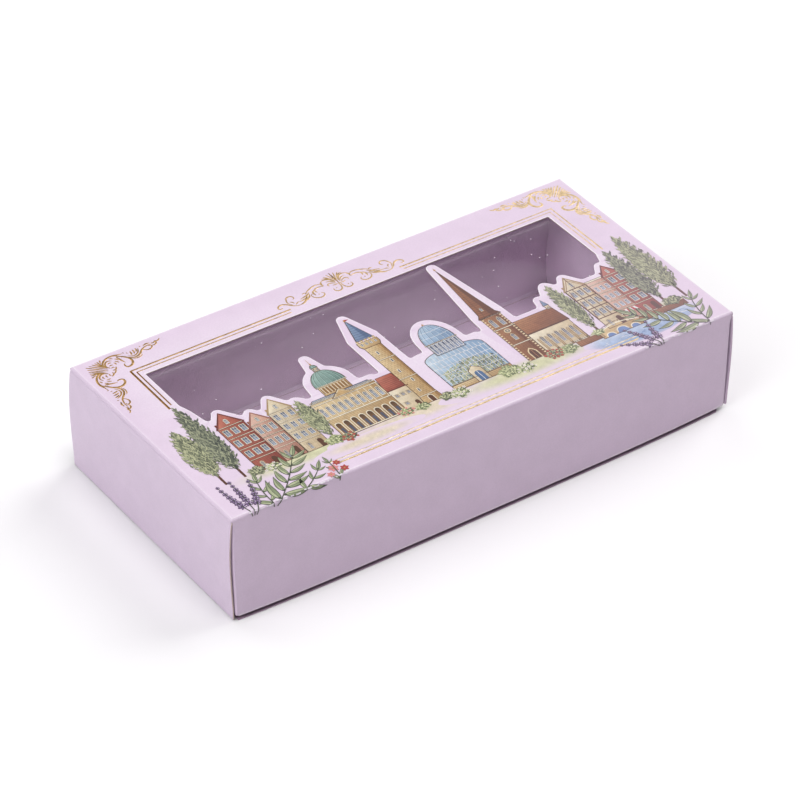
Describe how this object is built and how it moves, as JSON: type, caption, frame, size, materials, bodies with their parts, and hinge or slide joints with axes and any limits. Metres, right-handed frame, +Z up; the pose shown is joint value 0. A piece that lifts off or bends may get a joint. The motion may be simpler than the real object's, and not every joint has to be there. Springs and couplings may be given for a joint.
{
  "type": "windowed cake box",
  "caption": "Long, low folded-card cake box: a deep lid with a die-cut window closed by clear film lifts straight off an empty card tray.",
  "frame": {"origin": "on the table, at the middle of the box's footprint", "axes": "+X along the box, +Y towards its back, +Z up; the camera of the picture stands at the left front"},
  "size_m": [0.2416, 0.1184, 0.0486],
  "materials": {
    "lid_card": "matt printed",
    "tray_card": "matt printed",
    "clear_film": "clear gloss"
  },
  "bodies": {
    "tray": {"tray": "tray_card"},
    "lid": {"lid": "lid_card", "window_film": "clear_film"}
  },
  "joints": [
    {"name": "lid_lift", "type": "slide", "parent": "tray", "child": "lid", "axis": [0, 0, 1], "range_m": [0, 0.06]}
  ]
}
